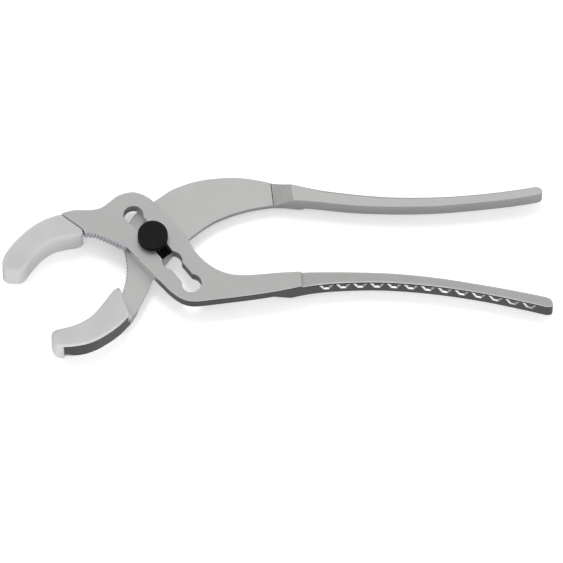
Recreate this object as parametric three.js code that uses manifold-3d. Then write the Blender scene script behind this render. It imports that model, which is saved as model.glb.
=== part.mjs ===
// Siphon and connector pliers with clip-on soft jaw covers, 250 mm class.
// The tool lies flat: jaws to -X, handles to +X, +Z up through the pivot pin.
// Units are millimetres. Outlines are drawn in a drawing frame and the whole
// group is then shifted so that the origin is the bottom centre of the tool.
import * as THREE from 'three';
import { mergeVertices } from 'three/addons/utils/BufferGeometryUtils.js';
import Module from 'manifold-3d';

const wasm = await Module();
wasm.setup();

// ---------------------------------------------------------------- dimensions
const DRAW_X = -1.8954;            // drawing-frame point that becomes the origin
const DRAW_Y = 4.9534;

const PIVOT = [-59.45, 15.8];   // pin centre, second of the four seats
const SLOT_DIR = [0.6195, -0.785];  // from the small setting to the large one
const SEAT_PITCH = 14.5;        // distance between two seats
const SEAT_D = 9.2;             // round seat
const NECK_W = 6.2;             // narrow part between seats

const REAR_Z0 = 1.45;           // rear lever plate
const REAR_Z1 = 7.85;
const FRONT_Z0 = 8.15;          // front lever plate, 0.3 mm above the rear one
const FRONT_Z1 = 14.55;
const HANDLE_Z0 = 3.0;          // forged handles
const HANDLE_Z1 = 13.0;
const JAW_Z0 = 2.0;             // thick jaw backs inside the covers
const JAW_Z1 = 14.0;
const COVER_H = 16.0;           // soft jaw cover height
const COVER_LIP = 1.7;          // lower lip of a cover stands back from the jaw by this
const DRAFT = 0.8;              // forging draft on the side of the rear plate
const REAR_CHAMFER = 2.2;       // and the inset of its ground lower edge
const REAR_CHAMFER_Z = 3.5;
const FIT = 0.3;                // clearance between neighbouring pieces

const TOOTH_PITCH = 1.7;
const TOOTH_DEPTH = 0.75;

const BUTTON_D = 13.9;
const BUTTON_Z0 = 17.6;
const BUTTON_Z1 = 19.0;
const FLANGE_D = 14.0;
const FLANGE_Z0 = 14.85;
const FLANGE_Z1 = 16.0;
const TONGUE_W = 5.9;
const TONGUE_Z0 = 9.95;
const TONGUE_R = 4.3;           // half length of the tongue along the slot
const PIN_D = 6.0;
const PIN_STEM_D = 3.6;
const PIN_Z0 = 1.6;
const PIN_Z1 = 18.0;
const PIN_GROOVE_D = 4.4;
const COLLAR_D = 9.0;
const COLLAR_FLAT = 5.9;
const COLLAR_Z0 = 8.2;
const COLLAR_Z1 = 9.6;
const RECESS_D = 8.4;           // spring recesses in flange and button
const SPRING_MEAN_D = 6.3;
const SPRING_WIRE = 0.5;
const SPRING_Z0 = 15.6;
const SPRING_Z1 = 18.0;
const CBORE_D = 14.2;           // counterbore behind the rear lever
const CBORE_Z1 = 3.65;
const WASHER_D = 13.4;
const WASHER_Z0 = 2.8;
const WASHER_Z1 = 3.35;
const RING_D = 9.6;
const RING_Z0 = 1.9;
const RING_Z1 = 2.5;
const BLOCK_MIN = -6.0;         // black bearing block let into the rear lever
const BLOCK_MAX = 8.7;
const BLOCK_HALF_W = 6.0;
const BLOCK_Z0 = 6.35;
const BLOCK_Z1 = 7.8;

// ------------------------------------------------------------------- outlines
// Each outline is a list of sections: 's' is a smooth curve through the points
// sampled n times, 'l' is straight from point to point.
const FRONT_PLATE = [
  ['l', [[-91.0, 18.2], [-91.3, 18.9], [-92.2, 20.3], [-101.7, 27.5], [-101.4, 28.2]]],
  ['s', [[-101.4, 28.2], [-98, 29.4], [-94.8, 29.9], [-89.6, 29.8], [-85.9, 30.1], [-82.4, 31.5], [-78.8, 34.5],
    [-75.3, 37.3], [-69.1, 38.9], [-64.7, 37.8], [-61.2, 35.9], [-59, 33.8]], 26],
  ['l', [[-59, 33.8], [-44.2, 17.2]]],
  ['s', [[-44.2, 17.2], [-42.6, 14.2], [-40.4, 9.9], [-37.4, 6.1], [-33.3, 2.3], [-28.3, -0.7], [-22.8, -2.4],
    [-16.3, -2.8], [-10.3, -2.4], [-2.8, -1.7], [4.8, -1.2], [9.0, -1.0]], 22],
  ['l', [[9.0, -1.0], [9.6, -4.0], [9.6, -8.6]]],
  ['s', [[9.6, -8.6], [4.0, -9.8], [-2.8, -11.2], [-10.3, -12.5], [-20.3, -13.9], [-30.3, -15.2], [-37.4, -16.1],
    [-41.8, -16.2], [-45.4, -15.2], [-48.7, -13.2], [-52, -10.3]], 20],
  ['l', [[-52, -10.3], [-58.5, -3.2], [-65, 4.1], [-69.8, 9.3], [-71.6, 11.2]]],
];
const FRONT_TEETH = [[-72.4, 11.8], [-75.6, 13.4], [-80.2, 15.7], [-86.2, 18.2], [-91.0, 18.6]];

const FRONT_HANDLE = [
  ['s', [[-6, -2.0], [4.8, -1.2], [16.9, -0.7], [34.7, -0.8], [52.6, -1.5], [70.5, -3.4], [88.3, -6.3],
    [106.2, -9.7], [121.0, -12.9]], 26],
  ['s', [[121.0, -12.9], [123.9, -14.0], [125.2, -16.2], [124.4, -18.1], [122.0, -18.3]], 8],
  ['s', [[122.0, -18.3], [115.1, -16.6], [97.3, -12.5], [79.4, -9.3], [61.5, -7.1], [43.7, -6.1], [25.8, -6.6],
    [12.4, -8.0], [3.7, -9.9], [-6, -11.8]], 26],
];

const FRONT_JAW = [   // thick back of the jaw, inside the cover
  ['s', [[-102.2, 26.8], [-108.5, 24.6], [-114.9, 20.8], [-120.8, 15.3], [-124.8, 10.4], [-126.2, 7.4]], 12],
  ['s', [[-126.2, 7.4], [-126.3, 3.8], [-124.4, 1.3], [-121.8, 1.1], [-119.9, 2.6]], 6],
  ['s', [[-119.9, 2.6], [-117.4, 6.4], [-112.3, 12.2], [-106.5, 16.2], [-100.8, 17.8], [-96.4, 18.5], [-94.6, 19.0]], 14],
  ['l', [[-94.6, 19.0], [-93.4, 20.2]]],
];
const FRONT_JAW_LINK = [[-102.2, 26.8], [-99.6, 28.2], [-91.5, 28.2], [-90.6, 20.4], [-94.6, 19.0], [-100.0, 22.5]];

const FRONT_COVER = [
  ['s', [[-102.3, 27.1], [-108.6, 24.9], [-115.1, 21.1], [-121.1, 15.6], [-125.2, 10.7], [-128.2, 5.8], [-129.0, 2.2],
    [-128.1, -0.8]], 16],
  ['s', [[-128.1, -0.8], [-126.4, -2.2], [-123.5, -2.6], [-120.8, -2.3]], 6],
  ['s', [[-120.8, -2.3], [-118.6, -0.6], [-115.1, 4.6], [-110.4, 10.0], [-105.4, 13.5], [-100.1, 15.1], [-95.5, 15.9],
    [-92.7, 16.9]], 16],
  ['l', [[-92.7, 16.9], [-91.7, 18.4], [-92.5, 19.9], [-102.3, 27.1]]],
];

const REAR_PLATE = [
  ['s', [[-72.6, 14.8], [-72.3, 19.5], [-70.8, 25.2], [-68.2, 30.0], [-64.0, 34.0], [-59, 36.9], [-56.0, 39.0],
    [-50.5, 42.9], [-41.7, 46.4], [-33.8, 48.1], [-24.3, 48.9], [-18.5, 48.7], [-12.8, 47.9], [-7, 46.7],
    [-3.6, 45.8], [0.7, 44.4], [6.4, 43.0]], 34],
  ['l', [[6.4, 43.0], [9.5, 42.3], [9.5, 35.1]]],
  ['s', [[9.5, 35.1], [3.0, 35.2], [-3.2, 34.8], [-7, 34.3], [-12.8, 33.3], [-18.5, 31.8], [-24.3, 29.8],
    [-30, 27.2], [-33.8, 24.9], [-38.4, 21.4], [-43, 17.4], [-47.2, 12.9], [-51.0, 8.6], [-53.6, 5.2], [-56.6, 2.4],
    [-58.7, -0.8], [-60.9, -6.4], [-63.2, -11.8], [-65.3, -16.1], [-66.9, -19.0], [-69.6, -22.4]], 40],
  ['l', [[-69.6, -22.4], [-70.1, -21.0], [-72.1, -16.4], [-73.6, -11.9]]],
];
const REAR_TEETH = [[-73.5, -11.0], [-72.2, -7], [-71.3, -3.3], [-70.8, 1.0], [-70.8, 5.6], [-71.4, 10.3], [-72.6, 14.8]];

const REAR_HANDLE = [
  ['s', [[-6.5, 46.6], [-3.6, 45.8], [0.7, 44.4], [6.4, 43.0], [16, 40.9], [25.8, 39.5], [39.2, 37.9], [52.6, 37.0],
    [66, 36.9], [79.4, 37.4], [92.8, 38.6], [106.2, 40.3], [116.4, 42.0]], 28],
  ['s', [[116.4, 42.0], [118.8, 42.0], [120.5, 40.6], [120.2, 38.7], [118.0, 37.8]], 8],
  ['s', [[118.0, 37.8], [106.2, 35.8], [88.3, 33.7], [70.5, 32.2], [52.6, 31.9], [34.7, 32.5], [22.4, 33.7],
    [12.2, 34.8], [3.0, 35.2], [-6.5, 34.4]], 26],
];

const REAR_JAW = [
  ['s', [[-70.7, -23.6], [-73.8, -27.1], [-77.5, -30.3], [-81.2, -32.9], [-84.8, -35.1], [-90, -37.2], [-96.0, -38.3],
    [-100.3, -38.4]], 14],
  ['s', [[-100.3, -38.4], [-102.2, -36.9], [-103.0, -34.6], [-102.3, -32.8]], 5],
  ['s', [[-102.3, -32.8], [-94.2, -30.8], [-85.5, -25.7], [-79.9, -18.8], [-77.3, -15.1], [-75.9, -13.0]], 12],
  ['l', [[-75.9, -13.0], [-74.9, -12.2], [-72.9, -16.9]]],
];
const REAR_JAW_LINK = [[-70.7, -23.6], [-68.5, -20.8], [-70.0, -15.0], [-73.0, -12.6], [-75.6, -13.2], [-74.5, -19.0]];

const REAR_COVER = [
  ['s', [[-74.9, -9.3], [-76.2, -9.6], [-77.9, -11.0], [-79.7, -13.5], [-82.2, -17], [-87.5, -23.4], [-95, -27.9],
    [-104.1, -30.3]], 18],
  ['s', [[-104.1, -30.3], [-105.8, -31.5], [-106.0, -34.6], [-105.3, -37.6], [-103.4, -39.0]], 6],
  ['s', [[-103.4, -39.0], [-100.4, -38.9], [-96.0, -38.6], [-90, -37.5], [-84.8, -35.4], [-81.2, -33.2], [-77.5, -30.6],
    [-73.8, -27.4], [-70.6, -23.7]], 14],
  ['l', [[-70.6, -23.7], [-70.5, -21.3], [-72.4, -16.5], [-74.0, -11.2], [-74.9, -9.3]]],
];

// -------------------------------------------------------------------- helpers
const v2 = (p) => new THREE.Vector2(p[0], p[1]);

function trace(sections) {
  const pts = [];
  for (const [kind, ctrl, n] of sections) {
    const got = kind === 's'
      ? new THREE.SplineCurve(ctrl.map(v2)).getSpacedPoints(n)
      : ctrl.map(v2);
    for (const p of got) {
      const last = pts[pts.length - 1];
      if (!last || last.distanceTo(p) > 0.05) pts.push(p);
    }
  }
  if (pts[0].distanceTo(pts[pts.length - 1]) < 0.05) pts.pop();
  return pts;
}

// saw teeth along a curve, pointing to the side given by sign
function teeth(ctrl, sign) {
  const curve = new THREE.SplineCurve(ctrl.map(v2));
  const count = Math.round(curve.getLength() / TOOTH_PITCH);
  const pts = [];
  for (let i = 0; i <= count; i += 1) {
    pts.push(curve.getPointAt(i / count));
    if (i < count) {
      const t = (i + 0.5) / count;
      const d = curve.getTangentAt(t);
      const p = curve.getPointAt(t);
      pts.push(new THREE.Vector2(p.x - sign * d.y * TOOTH_DEPTH, p.y + sign * d.x * TOOTH_DEPTH));
    }
  }
  return pts;
}

function area(pts) {
  return THREE.ShapeUtils.area(pts);
}

// every vertex moved outwards by d
function grow(pts, d) {
  const side = area(pts) > 0 ? 1 : -1;
  return pts.map((p, i) => {
    const a = pts[(i + pts.length - 1) % pts.length];
    const b = pts[(i + 1) % pts.length];
    const u = p.clone().sub(a).normalize();
    const w = b.clone().sub(p).normalize();
    const n = new THREE.Vector2(u.y + w.y, -u.x - w.x).multiplyScalar(side);
    const k = Math.max(0.6, n.length() / 2);
    return p.clone().add(n.normalize().multiplyScalar(d / k));
  });
}

function prism(pts, z0, z1) {
  const g = new THREE.ExtrudeGeometry(new THREE.Shape(pts), { depth: z1 - z0, bevelEnabled: false, steps: 1 });
  g.translate(0, 0, z0);
  return g;
}

// a prism whose outline moves in or out with height; levels are [z, offset],
// and near the fixed points the outline keeps its place
function draftedPrism(pts, levels, fixed, fade) {
  const n = levels.length - 1;
  const g = new THREE.ExtrudeGeometry(new THREE.Shape(pts), { depth: n, bevelEnabled: false, steps: n });
  const far = grow(pts, 1);
  const weight = pts.map((p) => {
    const d = Math.min(...fixed.map((f) => p.distanceTo(f)));
    return Math.min(1, Math.max(0, (d - 0.5) / fade));
  });
  const pos = g.attributes.position;
  for (let i = 0; i < pos.count; i += 1) {
    const q = new THREE.Vector2(pos.getX(i), pos.getY(i));
    let k = 0;
    for (let j = 1; j < pts.length; j += 1) if (pts[j].distanceTo(q) < pts[k].distanceTo(q)) k = j;
    const [z, d] = levels[Math.round(pos.getZ(i))];
    const w = weight[k] * d;
    pos.setXYZ(i, pts[k].x + (far[k].x - pts[k].x) * w, pts[k].y + (far[k].y - pts[k].y) * w, z);
  }
  return g;
}

// a block whose X-Z side view is the given polygon
function sideProfile(xz, y0, y1) {
  const g = new THREE.ExtrudeGeometry(new THREE.Shape(xz.map(v2)), { depth: y1 - y0, bevelEnabled: false, steps: 1 });
  g.rotateX(Math.PI / 2);
  g.translate(0, y1, 0);
  return g;
}

function solid(geometry) {
  let g = geometry.clone();
  g.deleteAttribute('normal');
  g.deleteAttribute('uv');
  g = mergeVertices(g, 1e-4);
  return new wasm.Manifold(new wasm.Mesh({
    numProp: 3,
    vertProperties: new Float32Array(g.attributes.position.array),
    triVerts: new Uint32Array(g.index.array),
  }));
}

function geometryOf(manifold) {
  const m = manifold.getMesh();
  const g = new THREE.BufferGeometry();
  const xyz = new Float32Array(m.numVert * 3);
  for (let i = 0; i < m.numVert; i += 1) {
    for (let k = 0; k < 3; k += 1) xyz[3 * i + k] = m.vertProperties[m.numProp * i + k];
  }
  g.setAttribute('position', new THREE.BufferAttribute(xyz, 3));
  g.setIndex(new THREE.BufferAttribute(new Uint32Array(m.triVerts), 1));
  g.computeVertexNormals();
  return g;
}

function rod(d, z0, z1, x, y, sides = 32) {
  const g = new THREE.CylinderGeometry(d / 2, d / 2, z1 - z0, sides);
  g.rotateX(Math.PI / 2);
  g.translate(x, y, (z0 + z1) / 2);
  return g;
}

function lathe(profile, x, y, sides = 32) {
  const g = new THREE.LatheGeometry(profile.map(v2), sides);
  g.rotateX(Math.PI / 2);
  g.translate(x, y, 0);
  return g;
}

// point at a distance along the slot and across it, from the pin centre
const alongSlot = (a, b = 0) => [
  PIVOT[0] + SLOT_DIR[0] * a + SLOT_DIR[1] * b,
  PIVOT[1] + SLOT_DIR[1] * a - SLOT_DIR[0] * b,
];

function slotBox(a0, a1, half, z0, z1) {
  return prism([alongSlot(a0, -half), alongSlot(a1, -half), alongSlot(a1, half), alongSlot(a0, half)].map(v2), z0, z1);
}

const materials = {
  plate: () => new THREE.MeshStandardMaterial({ color: 0xb4b3b0, roughness: 0.34, metalness: 1.0 }),
  forged: () => new THREE.MeshStandardMaterial({ color: 0xbdbcba, roughness: 0.4, metalness: 1.0 }),
  cover: () => new THREE.MeshStandardMaterial({ color: 0xe6e7ea, roughness: 0.45, metalness: 0.0 }),
  black: () => new THREE.MeshStandardMaterial({ color: 0x1c1b1b, roughness: 0.42, metalness: 0.0 }),
  steel: () => new THREE.MeshStandardMaterial({ color: 0xa8a8a6, roughness: 0.3, metalness: 1.0 }),
};

const tool = new THREE.Group();
tool.position.set(-DRAW_X, -DRAW_Y, 0);

function add(name, geometry, material) {
  const mesh = new THREE.Mesh(geometry, material);
  mesh.name = name;
  tool.add(mesh);
}

// ---------------------------------------------------------------- front lever
const frontPlatePts = trace(FRONT_PLATE).concat(teeth(FRONT_TEETH, 1).slice(0, -1));
const frontRamp = [[-4, HANDLE_Z1], [-4, FRONT_Z0], [4, HANDLE_Z0], [130, HANDLE_Z0], [130, HANDLE_Z1]];
let front = solid(prism(frontPlatePts, FRONT_Z0, FRONT_Z1))
  .add(solid(prism(trace(FRONT_HANDLE), 0, 16)).intersect(solid(sideProfile(frontRamp, -40, 20))))
  .add(solid(prism(trace(FRONT_JAW), JAW_Z0, JAW_Z1)))
  .add(solid(prism(FRONT_JAW_LINK.map(v2), FRONT_Z0, JAW_Z1)));
for (let i = -1; i <= 2; i += 1) {
  const [x, y] = alongSlot(i * SEAT_PITCH);
  front = front.subtract(solid(rod(SEAT_D, FRONT_Z0 - 1, FRONT_Z1 + 1, x, y, 36)));
}
front = front.subtract(solid(slotBox(-SEAT_PITCH, 2 * SEAT_PITCH, NECK_W / 2, FRONT_Z0 - 1, FRONT_Z1 + 1)));
add('front_lever', geometryOf(front), materials.plate());

// ----------------------------------------------------------------- rear lever
const rearTeeth = teeth(REAR_TEETH, 1);
const rearPlatePts = trace(REAR_PLATE).concat(rearTeeth.slice(0, -1));
const rearFixed = rearTeeth.concat([[9.5, 42.3], [9.5, 38.0], [9.5, 35.1], [-69.6, -22.4], [-72.1, -16.4]].map(v2));
const rearRamp = [[-3.6, REAR_Z0], [-3.6, REAR_Z1], [4.6, HANDLE_Z1], [130, HANDLE_Z1], [130, HANDLE_Z0],
  [9.5, HANDLE_Z0], [9.5, REAR_Z0]];
let rear = solid(draftedPrism(rearPlatePts,
  [[REAR_Z0, -REAR_CHAMFER], [REAR_CHAMFER_Z, -DRAFT], [REAR_Z1, 0]], rearFixed, 6))
  .add(solid(prism(trace(REAR_HANDLE), 0, 16)).intersect(solid(sideProfile(rearRamp, 20, 60))))
  .add(solid(prism(trace(REAR_JAW), JAW_Z0, JAW_Z1)))
  .add(solid(prism(REAR_JAW_LINK.map(v2), JAW_Z0, REAR_Z1)));
rear = rear
  .subtract(solid(rod(PIN_D + 2 * FIT, 0, 10, PIVOT[0], PIVOT[1])))
  .subtract(solid(rod(CBORE_D, 0, CBORE_Z1, PIVOT[0], PIVOT[1], 40)))
  .subtract(solid(slotBox(BLOCK_MIN - FIT, BLOCK_MAX + FIT, BLOCK_HALF_W + FIT, BLOCK_Z0 - FIT, REAR_Z1 + 2)));
add('rear_lever', geometryOf(rear), materials.forged());

// ---------------------------------------------------------- soft jaw covers
function cover(outline, jaw, openSide) {
  const jawPts = trace(jaw);
  const back = trace(outline.slice(jaw === FRONT_JAW ? 0 : 2, jaw === FRONT_JAW ? 1 : 3))
    .filter((p) => p.x > (jaw === FRONT_JAW ? -122 : -101));
  const middle = jaw === FRONT_JAW ? [-98.0, 2.0] : [-94.0, -12.0];
  const inner = back.map((p) => {
    const to = new THREE.Vector2(middle[0] - p.x, middle[1] - p.y).normalize();
    return p.clone().add(to.multiplyScalar(COVER_LIP));
  });
  const outer = back.map((p) => {
    const to = new THREE.Vector2(middle[0] - p.x, middle[1] - p.y).normalize();
    return p.clone().sub(to.multiplyScalar(5));
  });
  const shell = solid(prism(trace(outline), 0, COVER_H))
    .subtract(solid(prism(inner.concat(outer.reverse()), -1, JAW_Z0)));
  const pocket = solid(prism(grow(jawPts, FIT), JAW_Z0 - FIT, JAW_Z1 + FIT));
  const mouth = solid(prism(openSide.map(v2), JAW_Z0 - FIT, JAW_Z1 + FIT));
  return shell.subtract(pocket).subtract(mouth);
}
add('front_jaw_cover', geometryOf(cover(FRONT_COVER, FRONT_JAW,
  [[-123.0, 12.6], [-121.5, 14.2], [-114.9, 20.6], [-108.5, 24.4], [-102.2, 26.6], [-93.4, 20.0], [-94.9, 18.7],
    [-90.0, 19.0], [-88, 24], [-98, 34], [-112, 30], [-122, 22]])), materials.cover());
add('rear_jaw_cover', geometryOf(cover(REAR_COVER, REAR_JAW,
  [[-100.3, -38.2], [-96.0, -38.0], [-90, -36.9], [-84.8, -34.8], [-81.2, -32.6], [-77.5, -30.0], [-73.8, -26.8],
    [-74.2, -18.0], [-75.9, -12.7], [-75.0, -11.7], [-70.0, -9.0], [-66.0, -20.0], [-70.0, -30.0], [-82, -41],
    [-100.3, -44]])), materials.cover());

// ---------------------------------------------------------------- pivot group
const [px, py] = PIVOT;
add('pin_block', geometryOf(
  solid(slotBox(BLOCK_MIN, BLOCK_MAX, BLOCK_HALF_W, BLOCK_Z0, BLOCK_Z1))
    .subtract(solid(rod(COLLAR_D + 2 * FIT, 0, 10, px, py)))), materials.black());

const tongue = solid(slotBox(-TONGUE_R, TONGUE_R, TONGUE_W / 2, TONGUE_Z0, FLANGE_Z0 + 0.1))
  .intersect(solid(rod(2 * TONGUE_R, 0, 20, px, py)));
add('slide_guide', geometryOf(
  tongue.add(solid(rod(FLANGE_D, FLANGE_Z0, FLANGE_Z1, px, py, 40)))
    .subtract(solid(rod(PIN_STEM_D + 2 * FIT, 0, 20, px, py, 24)))
    .subtract(solid(rod(RECESS_D, SPRING_Z0 - FIT, 20, px, py)))), materials.black());

add('push_button', lathe([[0, SPRING_Z1 + FIT], [RECESS_D / 2, SPRING_Z1 + FIT], [RECESS_D / 2, BUTTON_Z0],
  [BUTTON_D / 2, BUTTON_Z0], [BUTTON_D / 2, BUTTON_Z1 - 0.5], [BUTTON_D / 2 - 0.55, BUTTON_Z1 - 0.06],
  [BUTTON_D / 2 - 1.1, BUTTON_Z1], [0, BUTTON_Z1]], px, py, 40), materials.black());

add('pivot_pin', lathe([[0, PIN_Z0], [PIN_D / 2 - 0.3, PIN_Z0], [PIN_D / 2 - 0.3, RING_Z0 - 0.1],
  [PIN_GROOVE_D / 2, RING_Z0 - 0.1], [PIN_GROOVE_D / 2, RING_Z1 + 0.1], [PIN_D / 2, RING_Z1 + 0.1],
  [PIN_D / 2, COLLAR_Z0 - FIT], [2.5, COLLAR_Z0 - FIT], [2.5, COLLAR_Z1], [PIN_STEM_D / 2, COLLAR_Z1],
  [PIN_STEM_D / 2, PIN_Z1], [0, PIN_Z1]], px, py, 28), materials.steel());

add('locking_collar', geometryOf(
  solid(rod(COLLAR_D, COLLAR_Z0, COLLAR_Z1, px, py, 36))
    .intersect(solid(slotBox(-6, 6, COLLAR_FLAT / 2, 0, 20)))
    .subtract(solid(rod(5.0 + 2 * 0.25, 0, 20, px, py, 24)))), materials.steel());

class Helix extends THREE.Curve {
  getPoint(t, target = new THREE.Vector3()) {
    const turns = 2.25;
    const r = SPRING_MEAN_D / 2;
    const a = 2 * Math.PI * turns * t;
    const z0 = SPRING_Z0 + SPRING_WIRE / 2;
    const z1 = SPRING_Z1 - SPRING_WIRE / 2;
    return target.set(px + r * Math.cos(a), py + r * Math.sin(a), z0 + (z1 - z0) * t);
  }
}
const wire = new THREE.Shape();
wire.absarc(0, 0, SPRING_WIRE / 2, 0, 2 * Math.PI, false);
add('return_spring', new THREE.ExtrudeGeometry(wire,
  { steps: 36, bevelEnabled: false, extrudePath: new Helix(), curveSegments: 6 }), materials.steel());

add('back_washer', geometryOf(solid(rod(WASHER_D, WASHER_Z0, WASHER_Z1, px, py, 36))
  .subtract(solid(rod(PIN_D + 2 * FIT, 0, 10, px, py)))), materials.steel());

const gap = solid(prism([[px, py - 1.4], [px + 8, py - 2.2], [px + 8, py + 2.2], [px, py + 1.4]].map(v2), 0, 10));
add('retaining_ring', geometryOf(solid(rod(RING_D, RING_Z0, RING_Z1, px, py, 32))
  .subtract(solid(rod(PIN_GROOVE_D + 2 * 0.25, 0, 10, px, py, 24)))
  .subtract(gap)), materials.steel());

export default tool;
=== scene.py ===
import math
import bpy
import bmesh
import numpy as np
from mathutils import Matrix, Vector
from mathutils.geometry import tessellate_polygon


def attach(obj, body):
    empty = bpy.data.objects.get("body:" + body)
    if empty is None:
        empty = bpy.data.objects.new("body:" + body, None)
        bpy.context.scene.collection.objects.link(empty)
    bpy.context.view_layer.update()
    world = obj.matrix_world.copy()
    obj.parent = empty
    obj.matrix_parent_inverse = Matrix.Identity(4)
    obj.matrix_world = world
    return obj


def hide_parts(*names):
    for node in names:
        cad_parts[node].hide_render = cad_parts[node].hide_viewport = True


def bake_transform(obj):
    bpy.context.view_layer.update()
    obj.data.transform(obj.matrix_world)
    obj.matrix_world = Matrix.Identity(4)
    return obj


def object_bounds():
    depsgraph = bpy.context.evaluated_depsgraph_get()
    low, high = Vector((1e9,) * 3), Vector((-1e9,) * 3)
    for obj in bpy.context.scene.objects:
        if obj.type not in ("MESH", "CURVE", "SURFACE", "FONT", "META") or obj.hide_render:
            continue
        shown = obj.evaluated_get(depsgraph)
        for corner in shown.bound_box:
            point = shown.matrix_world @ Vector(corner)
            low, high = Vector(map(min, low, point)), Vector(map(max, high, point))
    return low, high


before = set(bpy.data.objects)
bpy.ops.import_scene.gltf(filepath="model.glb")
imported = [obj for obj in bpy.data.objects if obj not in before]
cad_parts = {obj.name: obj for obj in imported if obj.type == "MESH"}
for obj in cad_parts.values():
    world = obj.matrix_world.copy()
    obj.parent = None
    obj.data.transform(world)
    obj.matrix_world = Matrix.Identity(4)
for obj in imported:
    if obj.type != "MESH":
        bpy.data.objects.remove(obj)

CAD_LO, CAD_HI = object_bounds()
MM = 0.001

# Drawing frame (millimetres) to row frame, as in the design.
DRAW_X, DRAW_Y = -1.8954, 4.9534
PIVOT = (-59.45, 15.8)
SLOT_DIR = (0.6195, -0.785)
SEAT_PITCH, SEAT_R, NECK_H = 14.5, 4.6, 3.1
REAR_Z0, REAR_Z1 = 1.45, 7.85
FRONT_Z0, FRONT_Z1 = 8.15, 14.55
HANDLE_Z0, HANDLE_Z1 = 3.0, 13.0
JAW_Z0, JAW_Z1 = 2.0, 14.0
TOOTH_PITCH, TOOTH_DEPTH = 1.7, 0.75


# ------------------------------------------------------------------ camera
ELEV = math.radians(67.0)
SCALE = 2.163                       # picture units per millimetre
cam_data = bpy.data.cameras.new("camera")
cam_data.sensor_width = 36.0
cam_data.lens = 1000.0
cam = bpy.data.objects.new("camera", cam_data)
bpy.context.scene.collection.objects.link(cam)
aim = Vector((-DRAW_X * MM, -DRAW_Y * MM, 0.0))
back = Vector((0.0, -math.cos(ELEV), math.sin(ELEV)))
dist = (563.0 / SCALE / 2.0) * MM / (18.0 / cam_data.lens)
cam.location = aim + back * dist
cam.rotation_mode = "QUATERNION"
cam.rotation_quaternion = (-back).to_track_quat("-Z", "Y")
cam_data.clip_start = 0.1
cam_data.clip_end = 60.0
bpy.context.scene.camera = cam

# ---------------------------------------------------------------- outlines
FRONT_OUT = [
    ("l", [(-91.0, 18.2), (-91.3, 18.9), (-92.2, 20.3), (-101.7, 27.5), (-101.4, 28.2)], "end"),
    ("s", [(-101.4, 28.2), (-98, 29.4), (-94.8, 29.9), (-89.6, 29.8), (-85.9, 30.1), (-82.4, 31.5), (-78.8, 34.5),
           (-75.3, 37.3), (-69.1, 38.9), (-64.7, 37.8), (-61.2, 35.9), (-59, 33.8)], "back"),
    ("l", [(-59, 33.8), (-44.2, 17.2)], "back"),
    ("s", [(-44.2, 17.2), (-42.6, 14.2), (-40.4, 9.9), (-37.4, 6.1), (-33.3, 2.3), (-28.3, -0.7), (-22.8, -2.4),
           (-16.3, -2.8), (-10.3, -2.4), (-2.8, -1.7), (4.8, -1.2), (16.9, -0.7), (34.7, -0.8), (52.6, -1.5),
           (70.5, -3.4), (88.3, -6.3), (106.2, -9.7), (121.0, -12.9)], "inner"),
    ("s", [(121.0, -12.9), (123.9, -14.0), (125.2, -16.2), (124.4, -18.1), (122.0, -18.3)], "tip"),
    ("s", [(122.0, -18.3), (115.1, -16.6), (97.3, -12.5), (79.4, -9.3), (61.5, -7.1), (43.7, -6.1), (25.8, -6.6),
           (12.4, -8.0), (3.7, -9.9), (-2.8, -11.2), (-10.3, -12.5), (-20.3, -13.9), (-30.3, -15.2), (-37.4, -16.1),
           (-41.8, -16.2), (-45.4, -15.2), (-48.7, -13.2), (-52, -10.3)], "grip"),
    ("l", [(-52, -10.3), (-58.5, -3.2), (-65, 4.1), (-69.8, 9.3), (-71.6, 11.2)], "edge"),
]
FRONT_TEETH = [(-72.4, 11.8), (-75.6, 13.4), (-80.2, 15.7), (-86.2, 18.2), (-91.0, 18.6)]
FRONT_JAW = [
    ("s", [(-102.2, 26.8), (-108.5, 24.6), (-114.9, 20.8), (-120.8, 15.3), (-124.8, 10.4), (-126.2, 7.4)], ""),
    ("s", [(-126.2, 7.4), (-126.3, 3.8), (-124.4, 1.3), (-121.8, 1.1), (-119.9, 2.6)], ""),
    ("s", [(-119.9, 2.6), (-117.4, 6.4), (-112.3, 12.2), (-106.5, 16.2), (-100.8, 17.8), (-96.4, 18.5), (-94.6, 19.0)], ""),
    ("l", [(-94.6, 19.0), (-93.4, 20.2)], ""),
]
FRONT_JAW_LINK = [(-102.2, 26.8), (-99.6, 28.2), (-91.5, 28.2), (-90.6, 20.4), (-94.6, 19.0), (-100.0, 22.5)]
FRONT_COVER = [
    ("s", [(-102.3, 27.1), (-108.6, 24.9), (-115.1, 21.1), (-121.1, 15.6), (-125.2, 10.7), (-128.2, 5.8), (-129.0, 2.2),
           (-128.1, -0.8)], "back"),
    ("s", [(-128.1, -0.8), (-126.4, -2.2), (-123.5, -2.6), (-120.8, -2.3)], "tip"),
    ("s", [(-120.8, -2.3), (-118.6, -0.6), (-115.1, 4.6), (-110.4, 10.0), (-105.4, 13.5), (-100.1, 15.1), (-95.5, 15.9),
           (-92.7, 16.9)], "inner"),
    ("l", [(-92.7, 16.9), (-91.7, 18.4), (-92.5, 19.9), (-102.3, 27.1)], "end"),
]
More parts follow.
